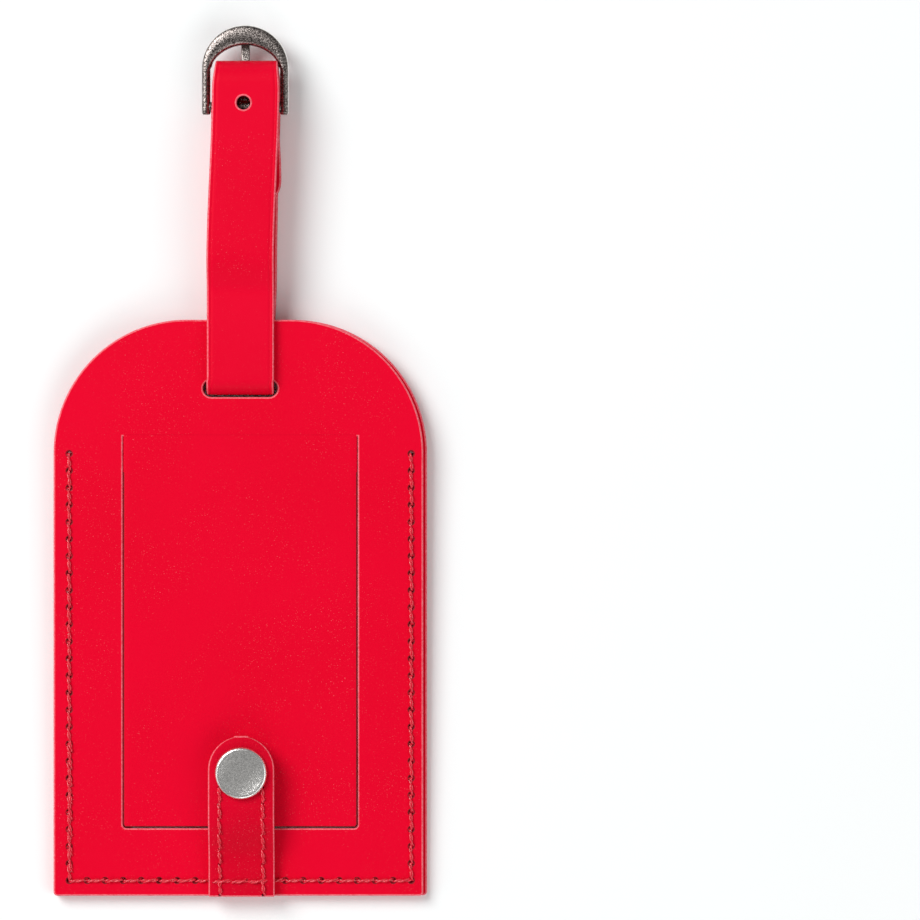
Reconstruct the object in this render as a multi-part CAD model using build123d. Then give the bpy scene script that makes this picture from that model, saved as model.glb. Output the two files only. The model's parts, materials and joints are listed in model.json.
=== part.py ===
from build123d import *
import math
import os

# Luggage tag: a sewn leather pocket with a snap flap over an address card,
# hung by a buckled leather strap. Millimetres. The origin is the centre of the
# tag's back face: +X right, +Y towards the buckle, +Z out of the front face.

os.makedirs("parts", exist_ok=True)

# tag body
tag_width = 70.0
tag_height = 108.0
shoulder_radius = 25.0
foot_radius = 0.7
panel_thickness = 1.3
front_step = 0.7
bottom = -tag_height / 2
top = tag_height / 2
side = tag_width / 2
front_z = 2 * panel_thickness

# strap slot through the tag
slot_width = 14.0
slot_height = 3.2
slot_y = bottom + 95.1
strap_bed_width = 13.2
strap_bed_depth = 0.1

# pocket between the panels, and the card in it
card_width = 51.0
card_height = 89.0
card_thickness = 0.2
card_radius = 0.5
pocket_depth = 0.3
pocket_width = 64.2
pocket_play = 0.3
card_x = 5.0
card_y = bottom + 3.7 + card_height / 2

# flap cut out of the front panel on three sides
window_width = 44.0
window_top = bottom + 86.1
window_bottom = bottom + 12.7
flap_gap = 0.2
flap_radius = 0.7
crease_y = bottom + 85.5
roll_y = bottom + 73.3
hinge_gap = 0.15

# sewing thread
stitch_inset = 2.95
stitch_pitch = 3.2
stitch_length = 2.5
stitch_width = 0.7
stitch_height = 0.25
groove_width = 1.1
groove_depth = 0.35
seam_bottom = bottom + 2.9
side_stitches = 25
bottom_stitches = 19

# closing tab, two layers, sewn into the bottom seam
tab_width = 12.4
tab_layer = 1.0
tab_foot_length = 5.2
tab_gap = 0.7
tab_end = bottom + 30.1
tab_x = 0.35
tab_ramp_start = bottom + 7.6
tab_ramp_end = bottom + 14.2
tab_lift = 2.4
tab_bend_radius = 9.0
tab_stitch_sides = (tab_x - 4.05, tab_x + 4.05)
tab_stitch_pitch = 2.9
tab_stitches = 5
tab_foot_stitches = 2

# snap fastener
snap_y = bottom + 23.3
cap_radius = 4.9
cap_rise = 1.5
cap_rim = 0.35
post_radius = 1.3
socket_radius = 4.1
socket_web = 0.4
socket_lip = 0.35
stud_radius = 3.4
stud_flange = 0.4
stud_head_radius = 1.8
stud_neck_radius = 1.45
stud_height = 1.75
spring_wire = 0.4
flange_radius = 4.65
flange_thickness = 0.3
barrel_radius = 1.25
eyelet_hole_radius = 0.75

# strap
strap_width = 12.6
strap_thickness = 1.5
half_strap = strap_thickness / 2
wrap_radius = panel_thickness + 0.1 + half_strap
wrap_y = slot_y + slot_height / 2 + 0.1
bend_y = top + 3.5
bend_gap = 1.25
front_strand_z = 5.25
rear_strand_z = -0.5
fold_top = bottom + 156.6
tongue_z = -2.15
tongue_end = bottom + 131.0
fold_radius = (front_strand_z - tongue_z) / 2
fold_y = fold_top - half_strap - fold_radius
fold_z = (front_strand_z + tongue_z) / 2
squeeze_start = bottom + 149.0
squeeze_end = bottom + 154.0
squeeze = 0.5
hole_radius = 1.35
hole_x = 0.75
front_hole_y = bottom + 148.45
rear_hole_y = bottom + 146.1

# buckle
buckle_x = 0.9
bar_y = bottom + 147.9
bar_radius = 1.0
bar_z = rear_strand_z + bar_radius + 0.2 + half_strap
frame_outer_radius = 8.15
frame_inner_half = 6.55
frame_arch_radius = 7.5
frame_arch_corner = 1.5
frame_top = bottom + 163.3
frame_band = 3.75
frame_foot = bottom + 146.5
frame_thickness = 2.4
frame_rounding = 0.5
strand_end = bottom + 129.4
layer_gap = 0.05
prong_width = 1.65
prong_thickness = 1.1
prong_slot = 2.7
prong_hole_radius = 1.5
prong_clearance = 0.1


def write(node, shape):
    """Save one node's solids."""
    export_step(shape, "parts/" + node + ".step")


def slab(sketch, z, height):
    """A flat piece of the sketch's shape, standing on height z."""
    return extrude(Pos(0, 0, z) * sketch, amount=height)


def turned(points):
    """A round piece about Z from its half profile of (radius, z) points."""
    outline = Polyline(*[(r, 0, z) for r, z in points], close=True)
    return revolve(make_face(outline), Axis.Z)


def tag_outline(left, right):
    """The tag's shape in plan: straight sides, round shoulders, square foot."""
    middle = (left + right) / 2
    shape = Pos(middle, 0) * Rectangle(right - left, tag_height)
    shape = fillet(shape.vertices().group_by(Axis.Y)[-1], shoulder_radius)
    return fillet(shape.vertices().group_by(Axis.Y)[0], foot_radius)


def slot_outline():
    return Pos(0, slot_y) * SlotOverall(slot_width, slot_height)


def rounded_flap(width, low, high):
    """A flap's rectangle with its two free corners eased."""
    shape = Pos(0, (low + high) / 2) * Rectangle(width, high - low)
    return fillet(shape.vertices().group_by(Axis.Y)[0], flap_radius)


def band(path, width):
    """A strip of strap leather along a path in the YZ plane."""
    start = Plane(origin=path @ 0, x_dir=(1, 0, 0), z_dir=path % 0)
    return sweep(start * Rectangle(width, strap_thickness), path=path)


def stitch(x, y, z, angle=0.0, tilt=0.0):
    """One stitch lying on a surface, turned by angle in plan."""
    flat = SlotOverall(stitch_length, stitch_width)
    return Pos(x, y, z) * Rot(tilt, 0, 0) * Rot(0, 0, angle) * extrude(flat, amount=stitch_height)


def seam_groove(x, y, length, angle):
    """A shallow channel in the back face that the thread lies in."""
    shape = Box(length, groove_width, groove_depth, align=(Align.CENTER, Align.CENTER, Align.MIN))
    return Pos(x, y, 0) * Rot(0, 0, angle) * shape


def back_panel():
    """The rear sheet: card pocket inside, thread channels and the strap's pressed bed behind."""
    panel = slab(tag_outline(-side, side) - slot_outline(), 0, panel_thickness)
    pocket_height = card_height + 2 * pocket_play
    pocket = Pos(0, card_y) * Rectangle(pocket_width, pocket_height)
    panel -= slab(pocket, panel_thickness - pocket_depth, pocket_depth)
    length = side_stitches * stitch_pitch
    for direction in (-1, 1):
        x = direction * (side - stitch_inset)
        panel -= seam_groove(x, seam_bottom + length / 2, length, 90)
    panel -= seam_groove(0, seam_bottom, tag_width - 2 * stitch_inset, 0)
    bed = Pos(0, (slot_y + top + 1) / 2) * Rectangle(strap_bed_width, top + 1 - slot_y)
    return panel - slab(bed, 0, strap_bed_depth)


def front_panel():
    outline = tag_outline(-side, side - front_step)
    window = rounded_flap(window_width, window_bottom, window_top)
    return slab(outline - slot_outline() - window, panel_thickness, panel_thickness)


def side_seam(direction):
    """The thread of one side, on the front face and in the back face's channel."""
    x = direction * (side - stitch_inset)
    thread = []
    for n in range(side_stitches):
        y = seam_bottom + (n + 0.5) * stitch_pitch
        thread.append(stitch(x, y, front_z, 90))
        thread.append(stitch(x, y, groove_depth - stitch_height, 90))
    return Compound(children=thread)


def bottom_seam():
    """The thread along the foot, which climbs over the tab's foot."""
    pitch = (tag_width - 2 * stitch_inset) / bottom_stitches
    thread = []
    for n in range(1, bottom_stitches - 1):
        x = (n + 0.5) * pitch - (side - stitch_inset)
        on_tab = abs(x - tab_x) < tab_width / 2
        beside_tab = not on_tab and abs(x - tab_x) < tab_width / 2 + stitch_length / 2 + 0.1
        if not beside_tab:
            thread.append(stitch(x, seam_bottom, front_z + on_tab * 2 * tab_layer))
        thread.append(stitch(x, seam_bottom, groove_depth - stitch_height))
    return Compound(children=thread)


def tab_foot(layer):
    """One layer of the tab where it is sewn down."""
    y = bottom + tab_foot_length / 2
    return slab(Pos(tab_x, y) * Rectangle(tab_width, tab_foot_length), front_z + layer * tab_layer, tab_layer)


def tab_path():
    """The line where the tab's two layers meet: flat, up a ramp, flat over the snap."""
    low = front_z + tab_layer
    high = low + tab_lift
    return FilletPolyline(
        (tab_x, bottom + tab_foot_length + tab_gap, low),
        (tab_x, tab_ramp_start, low),
        (tab_x, tab_ramp_end, high),
        (tab_x, tab_end, high),
        radius=tab_bend_radius,
    )


def tab(layer):
    """One layer of the part of the tab that lifts, with its round end and post hole."""
    path = tab_path()
    start = Plane(origin=path @ 0, x_dir=(1, 0, 0), z_dir=path % 0)
    offset = (0.5 - layer) * tab_layer
    strip = sweep(start * Pos(0, offset) * Rectangle(tab_width, tab_layer), path=path)
    length = 2 * (tab_end - bottom)
    keep = Pos(tab_x, tab_end - length / 2) * SlotOverall(length, tab_width, rotation=90)
    strip &= slab(keep, 0, 4 * front_z)
    return strip - Pos(tab_x, snap_y, front_z) * Cylinder(post_radius, 20)


def tab_seam(x):
    """The stitches down one side of the lifting part of the tab."""
    path = tab_path()
    thread = []
    for n in range(tab_stitches):
        y = bottom + 7.3 + n * tab_stitch_pitch
        share = (y - (path @ 0).Y) / (tab_end - (path @ 0).Y)
        point = path @ share
        slope = math.degrees(math.atan2((path % share).Z, (path % share).Y))
        lift = tab_layer + 0.06
        away = math.radians(slope)
        thread.append(
            stitch(x, point.Y - lift * math.sin(away), point.Z + lift * math.cos(away), 90, slope)
        )
    return Compound(children=thread)


def tab_foot_seam():
    """The stitches that run on from the tab's sides over its sewn foot."""
    z = front_z + 2 * tab_layer
    thread = [stitch(x, bottom + 1.25, z, 90) for x in tab_stitch_sides]
    return Compound(children=thread)


tab_top_z = front_z + 2 * tab_layer + tab_lift
tab_under_z = front_z + tab_lift


def snap_cap():
    """A low domed cap with a post that goes down through the tab."""
    sphere_radius = (cap_radius**2 + (cap_rise - cap_rim) ** 2) / (2 * (cap_rise - cap_rim))
    centre = Pos(0, 0, cap_rise - sphere_radius)
    disc = Cylinder(cap_radius, cap_rise, align=(Align.CENTER, Align.CENTER, Align.MIN))
    dome = disc & centre * Sphere(sphere_radius)
    length = tab_top_z - tab_under_z + socket_web
    post = Pos(0, 0, -length / 2) * Cylinder(post_radius, length)
    return Pos(tab_x, snap_y, tab_top_z) * (dome + post)


def snap_socket():
    """The female half under the tab: a turned cup with a lipped mouth."""
    depth = tab_lift - stud_flange - 0.1
    points = [
        (post_radius, 0),
        (socket_radius, 0),
        (socket_radius, 0.9 - depth),
        (socket_radius - 1.0, -depth),
        (stud_head_radius + 0.2, -depth),
        (stud_head_radius + 0.2, -depth + socket_lip),
        (stud_head_radius + 0.8, -depth + socket_lip),
        (stud_head_radius + 0.8, -depth + 3 * socket_lip),
        (stud_head_radius + 0.15, -socket_web),
        (post_radius, -socket_web),
    ]
    return Pos(tab_x, snap_y, tab_under_z) * turned(points)


def socket_spring():
    """The split spring ring in the socket's groove, which grips the stud's neck."""
    depth = tab_lift - stud_flange - 0.1
    z = tab_under_z - depth + 2 * socket_lip
    ring = Torus(stud_head_radius + 0.45, spring_wire / 2)
    gap = Pos(stud_head_radius + 0.45, 0, 0) * Box(2, 1.2, 2)
    return Pos(tab_x, snap_y, z) * (ring - gap)


def snap_stud():
    """The male half on the flap's face: flange, neck and rounded head."""
    head = stud_height
    points = [
        (barrel_radius, 0),
        (stud_radius, 0),
        (stud_radius, stud_flange / 2),
        (stud_radius - 0.3, stud_flange),
        (stud_neck_radius, stud_flange),
        (stud_neck_radius, stud_flange + 0.3),
        (stud_head_radius, head - 0.6),
        (stud_head_radius - 0.1, head - 0.2),
        (stud_head_radius - 0.5, head),
        (barrel_radius, head),
    ]
    return Pos(tab_x, snap_y, front_z) * turned(points)


def stud_eyelet():
    """The eyelet on the flap's inner face, with its barrel up through the stud."""
    low = panel_thickness
    high = front_z + stud_height
    points = [
        (eyelet_hole_radius, low),
        (flange_radius, low),
        (flange_radius, low + flange_thickness),
        (barrel_radius, low + flange_thickness),
        (barrel_radius, high),
        (eyelet_hole_radius, high),
    ]
    return Pos(tab_x, snap_y, 0) * turned(points)


def flap_hinge():
    """The short length of flap between its crease and its roll."""
    low = roll_y + hinge_gap
    high = crease_y + hinge_gap
    shape = Pos(0, (low + high) / 2) * Rectangle(window_width - 2 * flap_gap, high - low)
    return slab(shape, panel_thickness, panel_thickness)


def flap_panel():
    shape = rounded_flap(window_width - 2 * flap_gap, window_bottom + flap_gap, roll_y - hinge_gap)
    flap = slab(shape, panel_thickness, panel_thickness)
    seat = Pos(tab_x, snap_y) * Circle(flange_radius)
    flap -= slab(seat, panel_thickness, flange_thickness)
    return flap - Pos(tab_x, snap_y, front_z) * Cylinder(barrel_radius, 10)


def id_card():
    shape = Pos(card_x, card_y) * RectangleRounded(card_width, card_height, card_radius)
    return slab(shape, panel_thickness - pocket_depth + 0.05, card_thickness)


def strap_slot_turn():
    """The strap where it wraps the border between the slot and the tag's top edge."""
    high = panel_thickness + wrap_radius
    low = panel_thickness - wrap_radius
    end_y = bend_y - bend_gap
    front = Line((0, end_y, high), (0, wrap_y, high))
    turn = ThreePointArc((0, wrap_y, high), (0, wrap_y - wrap_radius, panel_thickness), (0, wrap_y, low))
    rear = Line((0, wrap_y, low), (0, end_y, low))
    return band(Wire([front, turn, rear]), strap_width)


def strap_tongue():
    """The holed end: up the front, over the fold through the buckle, and down behind."""
    x = buckle_x
    start_z = panel_thickness + wrap_radius
    start_y = bend_y + bend_gap
    rise = FilletPolyline(
        (x, start_y, start_z),
        (x, start_y + 1.0, start_z),
        (x, start_y + 6.5, front_strand_z),
        (x, fold_y, front_strand_z),
        radius=[6.0, 9.0],
    )
    fold = ThreePointArc(
        (x, fold_y, front_strand_z), (x, fold_y + fold_radius, fold_z), (x, fold_y, tongue_z)
    )
    tail = Line((x, fold_y, tongue_z), (x, tongue_end, tongue_z))
    strip = band(Wire(rise.edges() + [fold, tail]), strap_width)
    half = strap_width / 2
    for side_sign in (-1, 1):
        shoulder = Polyline(
            (x + side_sign * (half + 1), squeeze_start),
            (x + side_sign * half, squeeze_start),
            (x + side_sign * (half - squeeze), squeeze_end),
            (x + side_sign * (half - squeeze), fold_top + 1),
            (x + side_sign * (half + 1), fold_top + 1),
            close=True,
        )
        strip -= slab(make_face(shoulder), tongue_z - 2, 12)
    corner = Pos(x, tongue_end + half) * (Rectangle(2 * half + 1, 2 * half + 2) - Circle(half))
    corner &= Pos(x, tongue_end) * Rectangle(2 * half + 1, 2 * half)
    strip -= slab(corner, tongue_z - 2, 3)
    for y, z in ((front_hole_y, front_strand_z), (rear_hole_y, tongue_z)):
        strip -= Pos(hole_x, y, z) * Cylinder(hole_radius, 2 * strap_thickness)
    return strip - prong_line_cylinder(prong_hole_radius)


def prong_points():
    """The prong's centre line: from the bar, through the fold, on to the arc's far side."""
    rest_z = bar_z - frame_thickness / 2 - prong_clearance - prong_thickness / 2
    start = (bar_y + bar_radius + 0.3, bar_z - 0.1)
    knee = (frame_top - frame_band, rest_z)
    tip = (frame_top - 0.5, rest_z)
    return start, knee, tip


def prong_line_cylinder(radius):
    """A cylinder along the prong where it crosses the folded tongue."""
    start, knee, _ = prong_points()
    tilt = math.degrees(math.atan2(knee[1] - start[1], knee[0] - start[0]))
    middle_y = fold_y + fold_radius
    share = (middle_y - start[0]) / (knee[0] - start[0])
    middle_z = start[1] + share * (knee[1] - start[1])
    return Pos(buckle_x, middle_y, middle_z) * Rot(tilt, 0, 0) * Rot(90, 0, 0) * Cylinder(radius, 7)


def strap_buckle_end():
    """The buckle end: up behind, round the heel bar and back on itself."""
    start_z = panel_thickness - wrap_radius
    start_y = bend_y + bend_gap
    turn_radius = bar_z - rear_strand_z
    back_z = rear_strand_z + strap_thickness + layer_gap
    rise = FilletPolyline(
        (buckle_x, start_y, start_z),
        (buckle_x, start_y + 2.5, start_z),
        (buckle_x, start_y + 9.0, rear_strand_z),
        (buckle_x, bar_y, rear_strand_z),
        radius=12.0,
    )
    turn = ThreePointArc(
        (buckle_x, bar_y, rear_strand_z),
        (buckle_x, bar_y + turn_radius, bar_z),
        (buckle_x, bar_y, bar_z + turn_radius),
    )
    back = FilletPolyline(
        (buckle_x, bar_y, bar_z + turn_radius),
        (buckle_x, bar_y - 2.0, bar_z + turn_radius),
        (buckle_x, bar_y - 8.0, back_z),
        (buckle_x, strand_end, back_z),
        radius=3.0,
    )
    strip = band(Wire(rise.edges() + [turn] + back.edges()), strap_width)
    slot = Pos(buckle_x, bar_y, bar_z) * Box(prong_slot, 6.4, 8)
    return strip - slot


def strap_end_stitch():
    """A short row of thread that holds the folded-back end."""
    z = rear_strand_z + strap_thickness + layer_gap + half_strap
    y = bar_y - 10.5
    thread = [stitch(buckle_x + n * 3.0, y, z) for n in (-1.5, -0.5, 0.5, 1.5)]
    return Compound(children=thread)


def frame_outline():
    """The frame's outside in plan: a semicircular head on parallel legs."""
    centre = frame_top - frame_outer_radius
    legs = Pos(0, (centre + frame_foot) / 2) * Rectangle(2 * frame_outer_radius, centre - frame_foot)
    return legs + Pos(0, centre) * Circle(frame_outer_radius)


def frame_opening():
    """The frame's inside: parallel legs under an arch of larger radius."""
    crown = frame_top - frame_band
    centre = crown - frame_arch_radius
    low = frame_foot - 1
    legs = Pos(0, (crown + low) / 2) * Rectangle(2 * frame_inner_half, crown - low)
    arch = Pos(0, centre) * Circle(frame_arch_radius)
    arch += Pos(0, (centre + low) / 2) * Rectangle(2 * frame_arch_radius, centre - low)
    opening = legs & arch
    return fillet(opening.vertices().group_by(Axis.Y)[-1], frame_arch_corner)


def buckle_frame():
    """The open half-round frame, widest at its crown."""
    plan = frame_outline() - frame_opening()
    body = slab(Pos(buckle_x, 0) * plan, bar_z - frame_thickness / 2, frame_thickness)
    rims = body.faces().sort_by(Axis.Z)[-1].edges() + body.faces().sort_by(Axis.Z)[0].edges()
    body = fillet(rims, frame_rounding)
    bore = Pos(buckle_x, bar_y, bar_z) * Rot(0, 90, 0) * Cylinder(bar_radius, 30)
    return body - bore


def heel_bar():
    length = 2 * frame_outer_radius - 0.4
    return Pos(buckle_x, bar_y, bar_z) * Rot(0, 90, 0) * Cylinder(bar_radius, length)


def buckle_prong():
    """A flat pin curled round the heel bar, its tip against the frame's crown."""
    start, knee, tip = prong_points()
    path = FilletPolyline(
        (buckle_x, *start), (buckle_x, *knee), (buckle_x, *tip), radius=5.0
    )
    plane = Plane(origin=path @ 0, x_dir=(1, 0, 0), z_dir=path % 0)
    pin = sweep(plane * RectangleRounded(prong_width, prong_thickness, 0.3), path=path)
    curl = Cylinder(bar_radius + 0.8, prong_width) - Cylinder(bar_radius + 0.04, 10)
    return pin + Pos(buckle_x, bar_y, bar_z) * Rot(0, 90, 0) * curl


write("back_panel", back_panel())
write("front_panel", front_panel())
write("left_seam", side_seam(-1))
write("right_seam", side_seam(1))
write("bottom_seam", bottom_seam())
write("tab_lining_foot", tab_foot(0))
write("tab_outer_foot", tab_foot(1))
write("tab_foot_seam", tab_foot_seam())
write("tab_lining", tab(0))
write("tab_outer", tab(1))
write("tab_left_seam", tab_seam(tab_stitch_sides[0]))
write("tab_right_seam", tab_seam(tab_stitch_sides[1]))
write("snap_cap", snap_cap())
write("snap_socket", snap_socket())
write("socket_spring", socket_spring())
write("snap_stud", snap_stud())
write("stud_eyelet", stud_eyelet())
write("flap_hinge", flap_hinge())
write("flap_panel", flap_panel())
write("id_card", id_card())
write("strap_slot_turn", strap_slot_turn())
write("strap_tongue", strap_tongue())
write("strap_buckle_end", strap_buckle_end())
write("strap_end_stitch", strap_end_stitch())
write("buckle_frame", buckle_frame())
write("heel_bar", heel_bar())
write("buckle_prong", buckle_prong())
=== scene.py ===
import json
import math
import random

import bmesh
import bpy
from mathutils import Matrix, Vector, noise


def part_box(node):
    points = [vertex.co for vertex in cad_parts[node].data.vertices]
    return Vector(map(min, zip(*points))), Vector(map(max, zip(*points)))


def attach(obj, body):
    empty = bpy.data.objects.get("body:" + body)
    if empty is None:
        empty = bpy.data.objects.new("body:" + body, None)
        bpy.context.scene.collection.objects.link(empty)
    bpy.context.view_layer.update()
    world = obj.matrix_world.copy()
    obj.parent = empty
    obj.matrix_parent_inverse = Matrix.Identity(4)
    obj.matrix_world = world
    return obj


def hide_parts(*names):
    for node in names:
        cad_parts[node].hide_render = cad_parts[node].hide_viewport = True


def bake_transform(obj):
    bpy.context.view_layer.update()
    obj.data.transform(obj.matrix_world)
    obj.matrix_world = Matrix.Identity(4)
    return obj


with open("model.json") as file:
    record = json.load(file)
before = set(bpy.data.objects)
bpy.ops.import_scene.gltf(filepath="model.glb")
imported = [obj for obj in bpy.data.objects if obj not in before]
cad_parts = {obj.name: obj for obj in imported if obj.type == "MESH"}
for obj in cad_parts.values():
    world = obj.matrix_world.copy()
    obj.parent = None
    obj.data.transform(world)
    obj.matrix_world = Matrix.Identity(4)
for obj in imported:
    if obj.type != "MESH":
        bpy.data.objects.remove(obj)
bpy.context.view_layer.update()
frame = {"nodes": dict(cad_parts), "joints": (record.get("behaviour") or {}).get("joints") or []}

MM = 0.001
random.seed(7)

# ---------------------------------------------------------------- places, from the frame
back_low, back_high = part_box("back_panel")
front_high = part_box("front_panel")[1]
flap_low, flap_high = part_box("flap_panel")
tab_low, tab_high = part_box("tab_outer")
foot_low, foot_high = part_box("tab_outer_foot")
card_low, card_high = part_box("id_card")
cap_low, cap_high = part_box("snap_cap")
eyelet_low, eyelet_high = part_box("stud_eyelet")
buckle_low, buckle_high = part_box("buckle_frame")
bar_low, bar_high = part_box("heel_bar")
tongue_low, tongue_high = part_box("strap_tongue")
turn_low, turn_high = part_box("strap_slot_turn")
joint = {j["name"]: Vector(j["pos_m"]) for j in frame["joints"] if "pos_m" in j}

BOTTOM, TOP, SIDE = back_low.y, back_high.y, back_high.x
MIDDLE_Z, FRONT_Z = back_high.z, front_high.z
SHOULDER = 25 * MM
FOOT_CORNER = 0.7 * MM
PANEL_BEVEL = 0.3 * MM

SLOT_WIDTH, SLOT_HEIGHT = 14 * MM, 3.2 * MM
SLOT_Y = joint["strap_swivel"].y

FLAP_HALF = flap_high.x
FLAP_GAP = 0.2 * MM
WINDOW_TOP = joint["flap_open"].y + 0.6 * MM
FLAP_SPLIT = (joint["flap_open"].y + joint["flap_roll"].y) / 2

SEAM_INSET = 2.95 * MM
SEAM_FOOT = BOTTOM + 2.9 * MM
SIDE_STITCHES = 25
SIDE_PITCH = 3.2 * MM
BOTTOM_STITCHES = 19

SNAP = Vector(((cap_low.x + cap_high.x) / 2, (cap_low.y + cap_high.y) / 2, cap_high.z))
TAB_X = (tab_low.x + tab_high.x) / 2
TAB_HALF = (tab_high.x - tab_low.x) / 2
TAB_LAYER = foot_high.z - foot_low.z
TAB_STITCH_X = 4.05 * MM
TAB_PITCH = 2.9 * MM

STRAP_HALF = turn_high.x
STRAP_THICK = 1.5 * MM
BUCKLE_X = (buckle_low.x + buckle_high.x) / 2
CROWN_BAND = 3.75 * MM


# ---------------------------------------------------------------- node helpers
def colour_socket(sockets, name):
    """A Mix node has a socket of each name for every kind of value; this is the colour one."""
    return next(s for s in sockets if s.name == name and s.type == "RGBA")


class Tree:
    """A material's nodes, with short ways to add and join them."""

    def __init__(self, name):
        self.material = bpy.data.materials.new(name)
        self.material.use_nodes = True
        self.nodes = self.material.node_tree.nodes
        self.links = self.material.node_tree.links
        self.shader = self.nodes["Principled BSDF"]
        self.place = self.nodes.new("ShaderNodeTexCoord").outputs["Object"]

    def noise(self, scale, detail=2.0, rough=0.5):
        node = self.nodes.new("ShaderNodeTexNoise")
        node.inputs["Scale"].default_value = scale
        node.inputs["Detail"].default_value = detail
        node.inputs["Roughness"].default_value = rough
        self.links.new(self.place, node.inputs["Vector"])
        return node.outputs["Fac"]

    def spread(self, value, low, high, out_low, out_high):
        node = self.nodes.new("ShaderNodeMapRange")
        limits = {"From Min": low, "From Max": high, "To Min": out_low, "To Max": out_high}
        for key, number in limits.items():
            node.inputs[key].default_value = number
        self.links.new(value, node.inputs["Value"])
        return node.outputs["Result"]

    def mix(self, share, first, second):
        node = self.nodes.new("ShaderNodeMix")
        node.data_type = "RGBA"
        colour_socket(node.inputs, "A").default_value = (*first, 1)
        colour_socket(node.inputs, "B").default_value = (*second, 1)
        self.links.new(share, node.inputs[0])
        return colour_socket(node.outputs, "Result")

    def blend(self, share, first, second):
        """The first colour, from another node, giving way to the second, a fixed one."""
        node = self.nodes.new("ShaderNodeMix")
        node.data_type = "RGBA"
        colour_socket(node.inputs, "B").default_value = (*second, 1)
        self.links.new(first, colour_socket(node.inputs, "A"))
        self.links.new(share, node.inputs[0])
        return colour_socket(node.outputs, "Result")

    def times(self, first, second):
        node = self.nodes.new("ShaderNodeMath")
        node.operation = "MULTIPLY"
        self.links.new(first, node.inputs[0])
        self.links.new(second, node.inputs[1])
        return node.outputs["Value"]

    def bump(self, height, distance, strength=1.0, under=None):
        node = self.nodes.new("ShaderNodeBump")
        node.inputs["Distance"].default_value = distance
        node.inputs["Strength"].default_value = strength
        self.links.new(height, node.inputs["Height"])
        if under:
            self.links.new(under, node.inputs["Normal"])
        return node.outputs["Normal"]

    def set(self, **values):
        for key, value in values.items():
            socket = self.shader.inputs[key.replace("_", " ")]
            if isinstance(value, bpy.types.NodeSocket):
                self.links.new(value, socket)
            else:
                socket.default_value = value
        return self.material


# pale pink painted on the leather as sparse highlight glints
GLINT_SPECK = (0.95, 0.20, 0.24)


def leather(name, light, dark, grain=1.0, wrinkle=0.0):
    """Coated leather: fine grain with sparse pale specks painted in as highlight glints, gentle waves,
    slightly uneven colour.
    """
    tree = Tree(name)
    patches = tree.spread(tree.noise(38, 4), 0.35, 0.7, 0, 1)
    colour = tree.mix(patches, light, dark)
    # painted highlight glints: fine specks, thinned out by a coarse mask
    glint_specks = tree.spread(tree.noise(4300, 3, 0.6), 0.655, 0.72, 0, 1)
    painted_highlight_mask = tree.spread(tree.noise(75, 3, 0.6), 0.40, 0.62, 0.04, 0.75)
    colour = tree.blend(tree.times(glint_specks, painted_highlight_mask), colour, GLINT_SPECK)
    waves = tree.bump(tree.noise(60, 2), 0.00016)
    pebbles = tree.bump(tree.noise(1500, 2), 0.000016 * grain, 0.8, waves)
    normal = tree.bump(tree.noise(5200, 3, 0.6), 0.000022 * grain, 0.8, pebbles)
    if wrinkle:
        where = tree.spread(tree.noise(120, 2), 0.42, 0.6, 0.1, 1)
        creased = tree.times(where, tree.noise(1250, 3, 0.65))
        normal = tree.bump(creased, 0.00014 * wrinkle, 1.0, normal)
    rough = tree.spread(tree.noise(3200, 2), 0.3, 0.7, 0.38, 0.54)
    return tree.set(Base_Color=colour, Roughness=rough, Normal=normal, Specular_IOR_Level=0.06)


def cut_edge(name, colour, deep):
    """The cut side of leather, fibrous; its colours are given per use: pale on the arris, partly the raw
    cut's own tone and partly painted highlight, and dark on the sides and hole walls, painted shade.
    """
    tree = Tree(name)
    fibres = tree.noise(2600, 3, 0.7)
    mixed = tree.mix(tree.spread(fibres, 0.35, 0.65, 0, 1), colour, deep)
    normal = tree.bump(fibres, 0.00004)
    return tree.set(Base_Color=mixed, Roughness=0.6, Normal=normal, Specular_IOR_Level=0.3)


def metal(name, colour, dark, rough, grain_scale, grain):
    """Nickel plate with the fine grain that its finish leaves."""
    tree = Tree(name)
    specks = tree.noise(grain_scale, 3, 0.6)
    speckle = tree.spread(tree.noise(grain_scale * 0.5, 3, 0.7), 0.42, 0.60, 0, 1)
    mixed = tree.mix(speckle, colour, dark)
    fine = tree.bump(specks, grain)
    spread = tree.spread(specks, 0.3, 0.7, rough - 0.07, rough + 0.07)
    return tree.set(Base_Color=mixed, Roughness=spread, Normal=fine, Metallic=1.0)


def sewing_thread(name, colour, dark):
    """Waxed thread: a little shiny, with fine fuzz."""
    tree = Tree(name)
    fuzz = tree.noise(9000, 2)
    mixed = tree.mix(tree.spread(fuzz, 0.3, 0.7, 0, 1), colour, dark)
    return tree.set(
        Base_Color=mixed, Roughness=0.27, Normal=tree.bump(fuzz, 0.000012), Specular_IOR_Level=0.7
    )


def paper(name):
    tree = Tree(name)
    fibres = tree.noise(2200, 4)
    mixed = tree.mix(fibres, (0.85, 0.85, 0.86), (0.80, 0.80, 0.815))
    return tree.set(Base_Color=mixed, Roughness=0.5, Normal=tree.bump(fibres, 0.00001))


def ink(name):
    tree = Tree(name)
    uneven = tree.noise(5000, 2)
    black = tree.mix(uneven, (0.02, 0.02, 0.022), (0.05, 0.05, 0.055))
    return tree.set(Base_Color=black, Roughness=0.6)


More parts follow.
